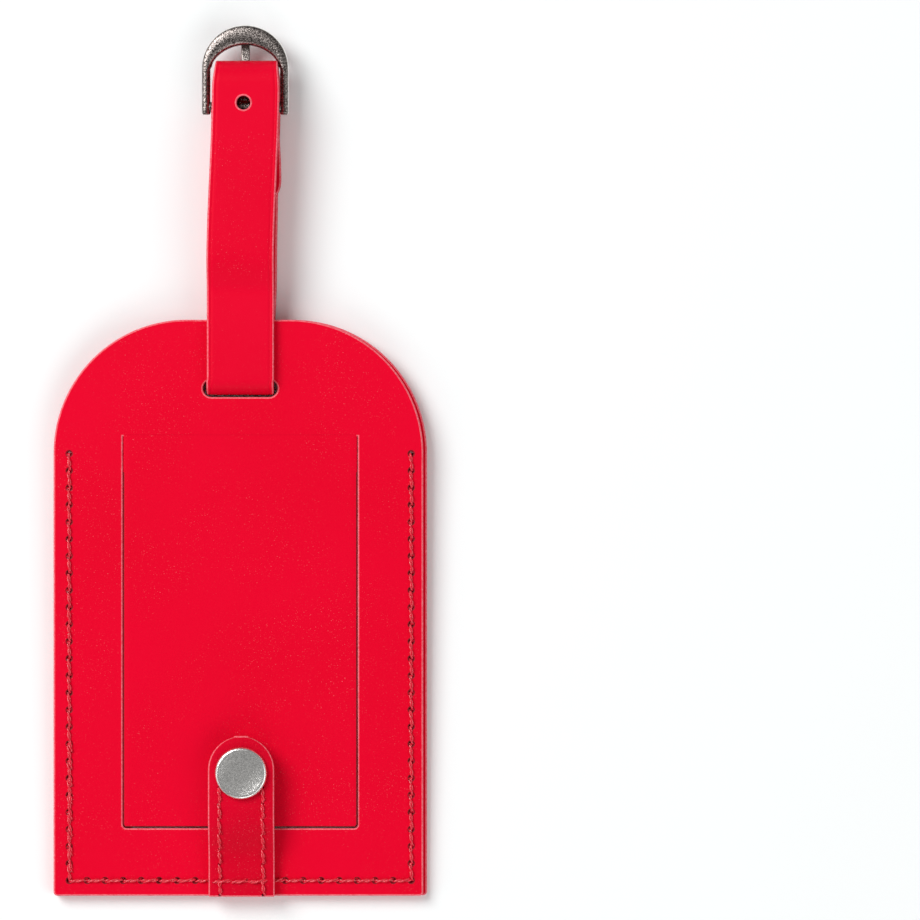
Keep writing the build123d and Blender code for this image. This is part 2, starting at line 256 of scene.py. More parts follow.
RED, DEEP_RED = (0.81, 0.0, 0.024), (0.77, 0.0, 0.020)
TAG_LEATHER = leather("tag_leather", RED, DEEP_RED)
STRAP_LEATHER = leather("strap_leather", (0.81, 0.001, 0.027), (0.76, 0.0, 0.021), 0.9)
TAB_LEATHER = leather("tab_leather", (0.72, 0.0, 0.022), (0.62, 0.0, 0.016), 1.3, 1.0)
# pale arris colour: partly the cut edge's own paler tone, partly a painted highlight where the edge catches
# the light
PALE_EDGE_AND_HIGHLIGHT = cut_edge("leather_edge_and_highlight", (0.92, 0.20, 0.24), (0.82, 0.06, 0.10))
# deep red painted on the cut sides as shade, darker than the leather's face
SIDE_SHADE = cut_edge("leather_side_shade", (0.62, 0.004, 0.02), (0.46, 0.0, 0.012))
# near-black red painted on hole walls as the shade inside the holes
HOLE_SHADE = cut_edge("hole_shade", (0.30, 0.0, 0.008), (0.18, 0.0, 0.005))
THREAD = sewing_thread("thread", (0.86, 0.02, 0.05), (0.60, 0.0, 0.016))
SATIN_NICKEL = metal("satin_nickel", (1.0, 0.98, 0.95), (0.66, 0.65, 0.63), 0.26, 6800, 0.000026)
# nickel painted dark: a painted reflection of dark surroundings, used on the buckle frame, heel bar and
# prong
NICKEL_PAINTED_DARK = metal("bright_nickel", (0.40, 0.355, 0.335), (0.05, 0.04, 0.036), 0.26, 6200, 0.00005)
# pale nickel painted on the buckle's outer rim as a highlight, the reflection of the white floor
NICKEL_RIM_HIGHLIGHT = metal("nickel_rim_highlight", (0.95, 0.93, 0.90), (0.80, 0.77, 0.74), 0.40, 5200, 0.00001)
SPRING_WIRE = metal("spring_wire", (0.5, 0.5, 0.5), (0.42, 0.42, 0.42), 0.3, 9000, 0.00001)
PAPER = paper("card")
INK = ink("ink")


# ---------------------------------------------------------------- mesh helpers
def finish_mesh(obj, angle=40):
    """Outward faces, smooth shading, and sharp edges where the surface turns quickly."""
    work = bmesh.new()
    work.from_mesh(obj.data)
    bmesh.ops.remove_doubles(work, verts=work.verts, dist=1e-6)
    bmesh.ops.recalc_face_normals(work, faces=work.faces)
    work.to_mesh(obj.data)
    work.free()
    obj.data.shade_smooth()
    obj.data.set_sharp_from_angle(angle=math.radians(angle))


def add_piece(name, mesh, materials, angle=40):
    obj = bpy.data.objects.new(name, mesh)
    bpy.context.scene.collection.objects.link(obj)
    for material in materials:
        mesh.materials.append(material)
    finish_mesh(obj, angle)
    return obj


def from_faces(name, points, faces, materials, slots=None, angle=40):
    mesh = bpy.data.meshes.new(name)
    mesh.from_pydata([tuple(p) for p in points], [], faces)
    if slots:
        mesh.polygons.foreach_set("material_index", slots)
    return add_piece(name, mesh, materials, angle)


def settle(obj, body, slot, *nodes):
    """Ride a body and take the place of CAD nodes; the slot argument is not used."""
    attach(obj, body)
    if nodes:
        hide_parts(*nodes)


def join_rings(faces, first, count, size):
    """The sides between rings of points that follow each other, and a face over each end."""
    last = first + (count - 1) * size
    for row in range(first, last, size):
        for k in range(size):
            after = (k + 1) % size
            faces.append((row + k, row + after, row + size + after, row + size + k))
    faces.append(tuple(first + k for k in range(size))[::-1])
    faces.append(tuple(last + k for k in range(size)))


def add_prism(points, faces, loop, low, high):
    """An upright solid over a closed loop of (x, y)."""
    first = len(points)
    points += [(x, y, z) for z in (low, high) for x, y in loop]
    join_rings(faces, first, 2, len(loop))


def arc(centre, radius, start, stop, steps):
    """Points on an arc, from start to stop degrees."""
    points = []
    for k in range(steps + 1):
        turn = math.radians(start + (stop - start) * k / steps)
        points.append((centre[0] + radius * math.cos(turn), centre[1] + radius * math.sin(turn)))
    return points


FLAT_ANGLE = 8
LEVEL = 0.995


def plate(name, outline, holes, low, high, bevel, materials, side_slot=None):
    """A flat piece of an outline's shape, with holes through it and eased edges."""
    curve = bpy.data.curves.new(name, "CURVE")
    curve.dimensions = "2D"
    curve.fill_mode = "BOTH"
    curve.extrude = (high - low) / 2 - bevel
    curve.bevel_depth = bevel
    curve.bevel_resolution = 2
    curve.offset = -bevel
    for loop in [outline, *holes]:
        spline = curve.splines.new("POLY")
        spline.points.add(len(loop) - 1)
        for point, (x, y) in zip(spline.points, loop):
            point.co = (x, y, 0, 1)
        spline.use_cyclic_u = True
    shape = bpy.data.objects.new(name + "_outline", curve)
    mesh = bpy.data.meshes.new_from_object(shape)
    bpy.data.objects.remove(shape)
    bpy.data.curves.remove(curve)
    mesh.transform(Matrix.Translation((0, 0, (low + high) / 2)))
    obj = add_piece(name, mesh, materials, FLAT_ANGLE)
    for face in obj.data.polygons:
        face.material_index = 0
        if side_slot and abs(face.normal.z) < LEVEL:
            face.material_index = side_slot(face)
    return obj


CORNER_STEPS = 3
CREASE_HALF = 0.12 * MM


def section(left, right, half, edge, lines):
    """A strip's cross-section as (across, through, on the edge); lines are dents along its underside."""
    inner_left, inner_right = left + edge, right - edge
    span = inner_right - inner_left
    points = [(inner_left + span * share, half, False) for share, _ in lines]
    for k in range(1, CORNER_STEPS + 1):
        turn = math.pi / 2 * (1 - k / CORNER_STEPS)
        points.append((inner_right + edge * math.cos(turn), half - edge + edge * math.sin(turn), True))
    for k in range(CORNER_STEPS + 1):
        turn = -math.pi / 2 * k / CORNER_STEPS
        curved = k < CORNER_STEPS
        points.append((inner_right + edge * math.cos(turn), edge - half + edge * math.sin(turn), curved))
    for share, dent in lines[-2::-1]:
        points.append((inner_left + span * share, dent - half, False))
    for k in range(1, CORNER_STEPS + 1):
        turn = -math.pi / 2 * (1 + k / CORNER_STEPS)
        points.append((inner_left + edge * math.cos(turn), edge - half + edge * math.sin(turn), True))
    for k in range(CORNER_STEPS):
        turn = math.pi - math.pi / 2 * k / CORNER_STEPS
        points.append((inner_left + edge * math.cos(turn), half - edge + edge * math.sin(turn), True))
    return points


def edge_slot(first, second, half, edge):
    """The finish of one facet of a strip: its face, its side (painted dark as shade), or the arris between
    (pale in most strips, partly as painted highlight).
    """
    if not first[2] and not second[2]:
        return 0
    height = abs(first[1] + second[1]) / 2
    return 1 if height > half - 0.6 * edge else 3


def face_lines(count, width, crease_at=None, crease=0.0):
    """Shares across a strip's face, with a shallow crease near each edge if asked."""
    shares = [k / count for k in range(count + 1)]
    lines = [(share, 0.0) for share in shares]
    if crease_at:
        near = crease_at / width
        half = CREASE_HALF / width
        flat = [share for share in shares if share in (0, 1) or 2 * near < share < 1 - 2 * near]
        lines = [(share, 0.0) for share in flat]
        for middle in (near, 1 - near):
            lines += [(middle - half, 0.0), (middle, crease), (middle + half, 0.0)]
    return sorted(lines)


def end_rows(row, sign, edge):
    """The rows that ease a strip's end, outwards from its last one."""
    point, along, left, right, _ = row
    extra = []
    for k in range(1, CORNER_STEPS + 1):
        turn = math.pi / 2 * k / CORNER_STEPS
        inset = edge * (1 - math.cos(turn)) * 0.98
        reach = along * (sign * edge * math.sin(turn))
        extra.append((point + reach, along, left + inset, right - inset, inset))
    return extra


def strip(name, stations, half, edge, lines, materials, round_ends=(True, True), wave=None):
    """Leather swept along stations of (x left, x right, y, z), its ends eased or square."""
    count = len(stations)
    rows = []
    for k, (left, right, y, z) in enumerate(stations):
        before, after = stations[max(k - 1, 0)], stations[min(k + 1, count - 1)]
        along = Vector((0, after[2] - before[2], after[3] - before[3])).normalized()
        rows.append((Vector((0, y, z)), along, left, right, 0.0))
    ends = [
        end_rows(rows[0], -1, edge) if round_ends[0] else [],
        end_rows(rows[-1], 1, edge) if round_ends[1] else [],
    ]
    rows = ends[0][::-1] + rows + ends[1]
    points, faces, slots = [], [], []
    for point, along, left, right, inset in rows:
        out = Vector((0, -along.z, along.y))
        for across, through, _ in section(left, right, half - inset, edge - inset * 0.9, lines):
            place = point + Vector((across, 0, 0)) + out * through
            if wave:
                place += out * wave(place)
            points.append(place)
    ring = section(-1, 1, half, edge, lines)
    join_rings(faces, 0, len(rows), len(ring))
    for row in range(len(rows) - 1):
        # the eased ends take slot 1, the arris finish, and the end caps take slot 3, the side finish painted
        # dark as shade
        at_end = row < len(ends[0]) or row >= len(rows) - 1 - len(ends[1])
        for first, second in zip(ring, ring[1:] + ring[:1]):
            slots.append(1 if at_end else edge_slot(first, second, half, edge))
    return from_faces(name, points, faces, materials, slots + [3, 3], 50)


def rounded(points, radii):
    """A path of straight runs joined by arcs, as closely spaced (y, z) points."""
    path = [points[0]]
    for k, radius in enumerate(radii):
        here = Vector(points[k + 1])
        back = (Vector(points[k]) - here).normalized()
        ahead = (Vector(points[k + 2]) - here).normalized()
        half_turn = back.angle(ahead) / 2
        reach = radius / math.tan(half_turn)
        centre = here + (back + ahead).normalized() * (radius / math.sin(half_turn))
        start, stop = here + back * reach - centre, here + ahead * reach - centre
        steps = max(3, int(start.angle(stop) / math.radians(6)))
        for n in range(steps + 1):
            spoke = start.lerp(stop, n / steps).normalized() * radius
            path.append(tuple(centre + spoke))
    path.append(points[-1])
    return divide(path)


def divide(path, longest=1.1 * MM):
    """The same path with its long runs cut into short ones."""
    dense = [path[0]]
    for start, stop in zip(path, path[1:]):
        length = math.dist(start, stop)
        if length < 1e-6:
            continue
        pieces = max(1, math.ceil(length / longest))
        for n in range(1, pieces + 1):
            share = n / pieces
            dense.append((start[0] + (stop[0] - start[0]) * share, start[1] + (stop[1] - start[1]) * share))
    return dense


def ease(value, low, high):
    """0 below low, 1 above high, and smooth between them."""
    share = min(1.0, max(0.0, (value - low) / (high - low)))
    return share * share * (3 - 2 * share)


def cut(obj, cutter, angle=50):
    """Take the cutter's solids out of a piece."""
    change = obj.modifiers.new("cut", "BOOLEAN")
    change.operation = "DIFFERENCE"
    change.solver = "EXACT"
    change.material_mode = "TRANSFER"
    change.object = cutter
    graph = bpy.context.evaluated_depsgraph_get()
    mesh = bpy.data.meshes.new_from_object(obj.evaluated_get(graph))
    obj.modifiers.clear()
    obj.data = mesh
    bpy.data.objects.remove(cutter)
    mesh.shade_smooth()
    mesh.set_sharp_from_angle(angle=math.radians(angle))


def pins(name, places, radius, low, high, steps=20):
    """Upright round cutters at (x, y), as one mesh."""
    turns = [2 * math.pi * k / steps for k in range(steps)]
    points, faces = [], []
    for x, y in places:
        loop = [(x + radius * math.cos(turn), y + radius * math.sin(turn)) for turn in turns]
        add_prism(points, faces, loop, low, high)
    # the cutters carry the dark hole colour, painted shade, onto the walls they cut
    return from_faces(name, points, faces, [HOLE_SHADE])


def lathe(name, centre, profile, materials, steps, flute=None, angle=35):
    """A round piece about Z, from (radius, z) points."""
    points, faces = [], []
    for k in range(steps):
        turn = 2 * math.pi * k / steps
        for radius, z in profile:
            lift = flute(radius, turn) if flute else 0.0
            points.append(centre + Vector((radius * math.cos(turn), radius * math.sin(turn), z + lift)))
    size = len(profile)
    for k in range(steps):
        after = (k + 1) % steps
        for n in range(size - 1):
            faces.append((k * size + n, after * size + n, after * size + n + 1, k * size + n + 1))
    return from_faces(name, points, faces, materials, None, angle)


# ---------------------------------------------------------------- tag panels
def tag_outline(right):
    outline = [(-SIDE + FOOT_CORNER, BOTTOM)]
    outline += arc((right - FOOT_CORNER, BOTTOM + FOOT_CORNER), FOOT_CORNER, -90, 0, 5)
    outline += arc((right - SHOULDER, TOP - SHOULDER), SHOULDER, 0, 90, 48)
    outline += arc((-SIDE + SHOULDER, TOP - SHOULDER), SHOULDER, 90, 180, 48)
    outline += arc((-SIDE + FOOT_CORNER, BOTTOM + FOOT_CORNER), FOOT_CORNER, 180, 270, 5)[:-1]
    return outline


def slot_outline():
    radius = SLOT_HEIGHT / 2
    reach = (SLOT_WIDTH - SLOT_HEIGHT) / 2
    right = arc((reach, SLOT_Y), radius, -90, 90, 14)
    left = arc((-reach, SLOT_Y), radius, 90, 270, 14)
    return right + left


def window_outline():
    half = FLAP_HALF + FLAP_GAP
    low = flap_low.y - FLAP_GAP
    outline = arc((half - FOOT_CORNER, low + FOOT_CORNER), FOOT_CORNER, -90, 0, 5)
    outline += [(half, WINDOW_TOP), (-half, WINDOW_TOP)]
    return outline + arc((-half + FOOT_CORNER, low + FOOT_CORNER), FOOT_CORNER, 180, 270, 5)


def needle_places():
    """Where the needle went through: up both sides and along the foot."""
    reach = SIDE - SEAM_INSET
    places = []
    for x in (-reach, reach):
        places += [(x, SEAM_FOOT + n * SIDE_PITCH) for n in range(SIDE_STITCHES + 1)]
    pitch = 2 * reach / BOTTOM_STITCHES
    places += [(-reach + n * pitch, SEAM_FOOT) for n in range(1, BOTTOM_STITCHES)]
    return places


NEEDLE = 0.4 * MM
NEEDLES = needle_places()
POCKET_HALF = 32.1 * MM
POCKET_ROOM = 0.3 * MM


def panel_edge(face):
    """The finish of a side face: a needle hole's wall painted dark as shade, the cut side painted dark as
    shade, or its arris painted pale, partly as highlight.
    """
    near = min(math.hypot(face.center.x - x, face.center.y - y) for x, y in NEEDLES)
    if near < 2.0 * NEEDLE:
        return 2
    return 3 if abs(face.normal.z) < 0.12 else 1


def needle_holes():
    return [arc(place, NEEDLE, 0, 330, 11) for place in NEEDLES]


def pocket_cutter():
    """The recess that the card lies and slides in, pressed into the back leather's front."""
    half = POCKET_HALF
    low, high = card_low.y - POCKET_ROOM, card_high.y + POCKET_ROOM
    corners = [(-half, low), (half, low), (half, high), (-half, high)]
    points, faces = [], []
    add_prism(points, faces, corners, card_low.z - 0.05 * MM, MIDDLE_Z + 0.2 * MM)
    return from_faces("pocket", points, faces, [TAG_LEATHER])


def panels():
    finishes = [TAG_LEATHER, PALE_EDGE_AND_HIGHLIGHT, HOLE_SHADE, SIDE_SHADE]
    holes = [slot_outline(), *needle_holes()]
    back = plate(
        "back_leather", tag_outline(SIDE), holes, back_low.z, MIDDLE_Z, PANEL_BEVEL, finishes, panel_edge
    )
    cut(back, pocket_cutter(), FLAT_ANGLE)
    front = plate(
        "front_leather", tag_outline(front_high.x), [*holes, window_outline()],
        MIDDLE_Z, FRONT_Z, PANEL_BEVEL, finishes, panel_edge,
    )
    settle(back, "tag", "tag_leather", "back_panel")
    settle(front, "tag", "tag_leather", "front_panel")


# ---------------------------------------------------------------- flap
FLAP_REACH = FLAP_HALF + 0.11 * MM
FLAP_EDGE = 0.2 * MM
FLAP_THICK_HALF = (FRONT_Z - MIDDLE_Z) / 2
FLAP_MIDDLE = MIDDLE_Z + FLAP_THICK_HALF
BARREL_HOLE = 1.25 * MM
FLANGE_DEPTH = 0.45 * MM
FLANGE_ROOM = 0.05 * MM
FLANGE_RADIUS = (eyelet_high.x - eyelet_low.x) / 2


def flap_wave(place):
    """Soft ripples in the flap, and its lower right corner a little proud."""
    fade = ease(FLAP_SPLIT - place.y, 0, 20 * MM)
    clear = ease(math.hypot(place.x, place.y - SNAP.y), 6 * MM, 14 * MM)
    ripple = noise.noise(Vector((place.x, place.y, 0)) * 55) * 0.06 * MM
    proud = 0.28 * MM * ease(place.x, 6 * MM, FLAP_HALF) * ease(-place.y, 0.0, -flap_low.y)
    left = 0.10 * MM * ease(-place.x, 14 * MM, FLAP_HALF)
    return (ripple + proud + left) * fade * clear


def flap_station(y):
    """The flap's width at y, with its two free corners round."""
    near = max(0.0, FOOT_CORNER - (y - flap_low.y))
    inset = FOOT_CORNER - math.sqrt(max(0.0, FOOT_CORNER**2 - near**2))
    return (-FLAP_REACH + inset, FLAP_REACH - inset, y, FLAP_MIDDLE)


def flap_strip(name, stations, round_ends, wave=None):
    finishes = [TAG_LEATHER, TAG_LEATHER, HOLE_SHADE, SIDE_SHADE]
    lines = face_lines(40, 2 * FLAP_HALF)
    return strip(name, stations, FLAP_THICK_HALF, FLAP_EDGE, lines, finishes, round_ends, wave)


def flap():
    """The flap, with the stud's hole and the seat that its flange is pressed into."""
    free = flap_low.y + FLAP_EDGE
    rows = [free + FOOT_CORNER * (1 - math.cos(math.radians(turn))) for turn in (15, 35, 55, 75)]
    rows += [y for y, _ in divide([(flap_low.y + FOOT_CORNER + FLAP_EDGE, 0), (FLAP_SPLIT, 0)], 1.3 * MM)]
    panel = flap_strip("flap_leather", [flap_station(y) for y in rows], (True, False), flap_wave)
    stud = [(SNAP.x, SNAP.y)]
    cut(panel, pins("barrel_hole", stud, BARREL_HOLE, 0, 5 * MM, 32))
    cut(panel, pins("flange_seat", stud, FLANGE_RADIUS + FLANGE_ROOM, 0, eyelet_low.z + FLANGE_DEPTH, 64))
    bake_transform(panel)
    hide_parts("flap_panel")


def flap_root():
    """The strip between the flap and the front leather."""
    rows = [y for y, _ in divide([(FLAP_SPLIT, 0), (WINDOW_TOP + PANEL_BEVEL * 1.05, 0)], 0.5 * MM)]
    stations = [(-FLAP_REACH, FLAP_REACH, y, FLAP_MIDDLE) for y in rows]
    root = flap_strip("flap_root_leather", stations, (False, False))
    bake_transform(root)
    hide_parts("flap_hinge")


# ---------------------------------------------------------------- sewing
PLY = 0.21 * MM
THREAD_SINK = 0.3 * MM
STITCH_RISE = 0.36 * MM
STITCH_STEPS = 12
BACK_STITCH_Z = 0.12 * MM
TACKS = 8
TACK_ASIDE = 0.25 * MM


def add_tube(points, faces, line, radius, sides=7):
    """A round tube along a line of points, closed at both ends."""
    first = len(points)
    count = len(line)
    for k, here in enumerate(line):
        along = (line[min(k + 1, count - 1)] - line[max(k - 1, 0)]).normalized()
        across = along.orthogonal().normalized()
        up = along.cross(across)
        for n in range(sides):
            turn = 2 * math.pi * n / sides
            points.append(here + (across * math.cos(turn) + up * math.sin(turn)) * radius)
    join_rings(faces, first, count, sides)


def add_stitch(points, faces, start, stop, out, lift=STITCH_RISE):
    """One stitch of two-ply thread that dives into the needle holes at both ends."""
    across = (stop - start).cross(out).normalized()
    lean = (0.16 + 0.05 * random.random()) * MM
    high = lift * (0.85 + 0.3 * random.random())
    start, stop = start + across * lean, stop - across * lean
    turn_start = random.random() * math.pi
    for ply in (0, 1):
        line = []
        for k in range(STITCH_STEPS + 1):
            share = k / STITCH_STEPS
            rise = -THREAD_SINK + (THREAD_SINK + high - 0.12 * MM) * math.sin(math.pi * share) ** 0.45
            turn = turn_start + math.pi * (ply + 2.0 * share)
            middle = start.lerp(stop, share) + out * rise
            line.append(middle + (across * math.cos(turn) + out * math.sin(turn)) * PLY * 0.85)
        add_tube(points, faces, line, PLY)


def sewn(name, runs):
    """Stitches from runs of (start, stop, outward direction, and the rise where it isn't usual)."""
    points, faces = [], []
    for start, stop, out, *lift in runs:
        add_stitch(points, faces, start, stop, out, *lift)
    return from_faces(name, points, faces, [THREAD], None, 80)


def thread_piece(name, runs, body, *nodes):
    settle(sewn(name, runs), body, "thread", *nodes)


FRONT, BEHIND = Vector((0, 0, 1)), Vector((0, 0, -1))


def straight(start, stop, out):
    """A run between two (x, y, z) places."""
    return Vector(start), Vector(stop), out


def side_runs(x):
    """The stitches up one side, each with its back stitch."""
    runs = []
    for n in range(SIDE_STITCHES):
        low, high = SEAM_FOOT + n * SIDE_PITCH, SEAM_FOOT + (n + 1) * SIDE_PITCH
        for z, out in ((FRONT_Z, FRONT), (BACK_STITCH_Z, BEHIND)):
            runs.append(straight((x, low, z), (x, high, z), out))
    return runs


def tack_runs(x):
    """The second pass of thread that secures the start of a seam."""
    runs = []
    for n in range(TACKS):
        low = SEAM_FOOT + (n + 0.45) * SIDE_PITCH
        runs.append(straight((x, low, FRONT_Z), (x, low + SIDE_PITCH * 0.8, FRONT_Z), FRONT))
    return runs


def foot_runs(reach):
    """The stitches along the foot, which climb over the tab, each with its back stitch."""
    pitch = 2 * reach / BOTTOM_STITCHES
    runs = []
    for n in range(BOTTOM_STITCHES):
        start, stop = -reach + n * pitch, -reach + (n + 1) * pitch
        on_tab = abs((start + stop) / 2 - TAB_X) < TAB_HALF
        z = foot_high.z if on_tab else FRONT_Z
        runs.append(straight((start, SEAM_FOOT, z), (stop, SEAM_FOOT, z), FRONT))
        runs.append(straight((start, SEAM_FOOT, BACK_STITCH_Z), (stop, SEAM_FOOT, BACK_STITCH_Z), BEHIND))
    return runs


def panel_seams():
    reach = SIDE - SEAM_INSET
    thread_piece("left_thread", side_runs(-reach) + tack_runs(-reach + TACK_ASIDE), "tag", "left_seam")
    thread_piece("right_thread", side_runs(reach), "tag", "right_seam")
    thread_piece("foot_thread", foot_runs(reach), "tag", "bottom_seam")


# ---------------------------------------------------------------- closing tab
TAB_LOW_Z = foot_low.z
TAB_HIGH_Z = tab_high.z - TAB_LAYER
TAB_RISE_LOW = BOTTOM + 7.6 * MM
TAB_RISE_HIGH = BOTTOM + 14.2 * MM
TAB_BEND = 9 * MM
TAB_EDGE = 0.26 * MM
TAB_NEEDLE = 0.3 * MM
TAB_STITCHES = 7
LINING_INSET = 0.12 * MM
POST_HOLE = 1.35 * MM
PRESSED_RISE = 0.10 * MM


def tab_line():
    """The line between the tab's two layers, from the foot edge to the round end."""
    points = [
        (BOTTOM, TAB_LOW_Z),
        (TAB_RISE_LOW, TAB_LOW_Z),
        (TAB_RISE_HIGH, TAB_HIGH_Z),
        (tab_high.y, TAB_HIGH_Z),
    ]
    return rounded(points, [TAB_BEND, TAB_BEND])


def tab_point(y):
    """The height and upward direction of the line between the layers at y."""
    line = tab_line()
    for (y0, z0), (y1, z1) in zip(line, line[1:]):
        if y0 <= y <= y1:
            share = (y - y0) / (y1 - y0)
            return z0 + (z1 - z0) * share, Vector((0, z0 - z1, y1 - y0)).normalized()
    return TAB_HIGH_Z, FRONT


def tab_needles():
    places = [BOTTOM + 0.35 * MM + n * TAB_PITCH for n in range(TAB_STITCHES + 1)]
    return [(x, y) for x in (TAB_X - TAB_STITCH_X, TAB_X + TAB_STITCH_X) for y in places]


def tab_wave(place):
    """Slight unevenness above the sewn foot."""
    fade = ease(place.y, BOTTOM + 2 * MM, BOTTOM + 8 * MM)
    return fade * noise.noise(Vector((place.x, place.y, 0)) * 130) * 0.05 * MM


def bend_tab(obj):
    """Bake a piece of the tab's placement into its mesh."""
    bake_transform(obj)


def tab_stations(side):
    """The tab's widths along one layer, out to its round end."""
    radius = TAB_HALF if side > 0 else TAB_HALF - LINING_INSET
    centre = tab_high.y - TAB_HALF
    places = [(y, z) for y, z in tab_line() if y < centre]
    for turn in (6, 16, 26, 36, 46, 55, 63, 70, 76, 81, 85, 88, 89.5):
        places.append((centre + radius * math.sin(math.radians(turn)) - TAB_EDGE * 0.6, TAB_HIGH_Z))
    stations = []
    for y, z in places:
        _, out = tab_point(y)
        past = max(0.0, y - centre)
        width = math.sqrt(max(radius**2 - past**2, (0.5 * MM) ** 2))
        place = Vector((0, y, z)) + out * (side * TAB_LAYER / 2)
        stations.append((TAB_X - width, TAB_X + width, place.y, place.z))
    left, right, _, z = stations[0]
    stations[0] = (left, right, BOTTOM + TAB_EDGE, z)
    return stations


def tab_layer(name, side, nodes):
    """One layer of the tab: side is 1 for the outer layer and -1 for the lining."""
    finishes = [TAB_LEATHER, PALE_EDGE_AND_HIGHLIGHT, HOLE_SHADE, SIDE_SHADE]
    half = TAB_LAYER / 2 - 0.01 * MM
    lines = face_lines(16, 2 * TAB_HALF)
    obj = strip(name, tab_stations(side), half, TAB_EDGE, lines, finishes, (True, True), tab_wave)
    cut(obj, pins(name + "_needles", tab_needles(), TAB_NEEDLE, 0, 10 * MM, 12))
    cut(obj, pins(name + "_post", [(SNAP.x, SNAP.y)], POST_HOLE, 0, 10 * MM, 28))
    bend_tab(obj)
    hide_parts(*nodes)


def tab_stitch(x, low, high, side):
    """A stitch on the outer layer (1) or the lining (-1), pressed flat where it has no room."""
    ends = []
    for y in (low, high):
        z, out = tab_point(y)
        ends.append(Vector((x, y, z)) + out * (side * TAB_LAYER))
    _, out = tab_point((low + high) / 2)
    room = min(end.z for end in ends) - FRONT_Z
    lift = STITCH_RISE if side > 0 else min(STITCH_RISE, max(PRESSED_RISE, room))
    return (*ends, out * side, lift)


def tab():
    tab_layer("tab_outer_leather", 1, ["tab_outer", "tab_outer_foot"])
    tab_layer("tab_lining_leather", -1, ["tab_lining", "tab_lining_foot"])
    foot = []
    for name, x in (("left", TAB_X - TAB_STITCH_X), ("right", TAB_X + TAB_STITCH_X)):
        moving = []
        needles = [y for at, y in tab_needles() if at == x]
        for low, high in zip(needles, needles[1:]):
            if high < joint["tab_lift"].y:
                foot.append(tab_stitch(x, low, high, 1))
            else:
                moving.append(tab_stitch(x, low, high, 1))
                moving.append(tab_stitch(x, low, high, -1))
        thread = sewn("tab_" + name + "_thread", moving)
        bend_tab(thread)
        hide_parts("tab_" + name + "_seam")
    thread_piece("tab_foot_thread", foot, "tag", "tab_foot_seam")


# ---------------------------------------------------------------- snap
FLUTES = 72
EYELET_SINK = 0.12 * MM


def snap_cap():
    """A cap with a shallow dish inside a rounded rim."""
    rise = cap_high.z - tab_high.z
    under = cap_low.z - tab_high.z
    radius = (cap_high.x - cap_low.x) / 2
    crest = 0.86
    profile = [(radius * crest * k / 14, rise * (0.66 + 0.17 * (k / 14) ** 2.6)) for k in range(15)]
    profile += [
        (radius * 0.90, rise * 0.83), (radius * 0.94, rise * 0.77), (radius * 0.975, rise * 0.62),
        (radius * 0.995, rise * 0.42), (radius, rise * 0.22), (radius * 0.985, 0.05 * rise),
        (radius * 0.95, 0), (0.27 * radius, 0), (0.26 * radius, under), (0, under),
    ]
    base = Vector((SNAP.x, SNAP.y, tab_high.z))
    cap = lathe("snap_cap_dome", base, profile, [SATIN_NICKEL], 128, None, 60)
    settle(cap, "tab", "satin_nickel", "snap_cap")


def flange():
    """The rolled flange behind the stud, its face hammered into uneven spokes."""
    spokes = [random.random() for _ in range(FLUTES)]

    def flute(radius, turn):
        inside = ease(radius, 2.5 * MM, 3.0 * MM) * (1 - ease(radius, 4.3 * MM, 4.5 * MM))
        return -inside * 0.07 * MM * spokes[int(turn / (2 * math.pi) * FLUTES) % FLUTES]

    low, high = eyelet_low.z + EYELET_SINK, eyelet_high.z
    outer = FLANGE_RADIUS
    profile = [
        (1.05 * MM, high), (1.22 * MM, high - 0.1 * MM), (1.22 * MM, low + 0.5 * MM),
        (outer, low + 0.3 * MM), (outer, low + 0.1 * MM), (outer - 0.12 * MM, low - 0.02 * MM),
        (outer * 0.9, low - 0.04 * MM), (outer * 0.75, low - 0.03 * MM), (outer * 0.62, low),
        (2.45 * MM, low + 0.04 * MM), (2.25 * MM, low + 0.22 * MM), (1.75 * MM, low + 0.22 * MM),
        (1.5 * MM, low - 0.02 * MM), (1.3 * MM, low - 0.12 * MM), (1.1 * MM, low - 0.06 * MM),
        (0.98 * MM, low + 0.1 * MM), (0.95 * MM, low + 0.5 * MM), (0.95 * MM, high - 0.05 * MM),
        (1.05 * MM, high),
    ]
    centre = Vector((SNAP.x, SNAP.y, 0))
    eyelet = lathe("eyelet_flange", centre, profile, [SATIN_NICKEL], 144, flute, 40)
    settle(eyelet, "flap", "satin_nickel", "stud_eyelet")


# ---------------------------------------------------------------- strap
FRONT_STRAND_Z = tongue_high.z - STRAP_THICK / 2
TONGUE_Z = tongue_low.z + STRAP_THICK / 2
WRAP = (turn_high.z - turn_low.z - STRAP_THICK) / 2
WRAP_Z = (turn_high.z + turn_low.z) / 2
WRAP_Y = turn_low.y + STRAP_THICK / 2 + WRAP
REAR_Z = (bar_low.z + bar_high.z) / 2 - 1.95 * MM
BAR = Vector((0, (bar_low.y + bar_high.y) / 2, (bar_low.z + bar_high.z) / 2))
FOLD = (FRONT_STRAND_Z - TONGUE_Z) / 2
FOLD_Y = tongue_high.y - STRAP_THICK / 2 - FOLD
FOLD_Z = (FRONT_STRAND_Z + TONGUE_Z) / 2
HOLE = (0.75 * MM, BOTTOM + 148.45 * MM)
REAR_HOLE = (0.95 * MM, BOTTOM + 146.1 * MM)
PUNCH = 1.32 * MM
STRAP_EDGE = 0.32 * MM
DIP_Y = joint["strap_bend"].y + 1.25 * MM
END_TIP_Y = BOTTOM + 129.4 * MM
END_CORNER = 4.6 * MM
END_Z = REAR_Z + STRAP_THICK + 0.05 * MM


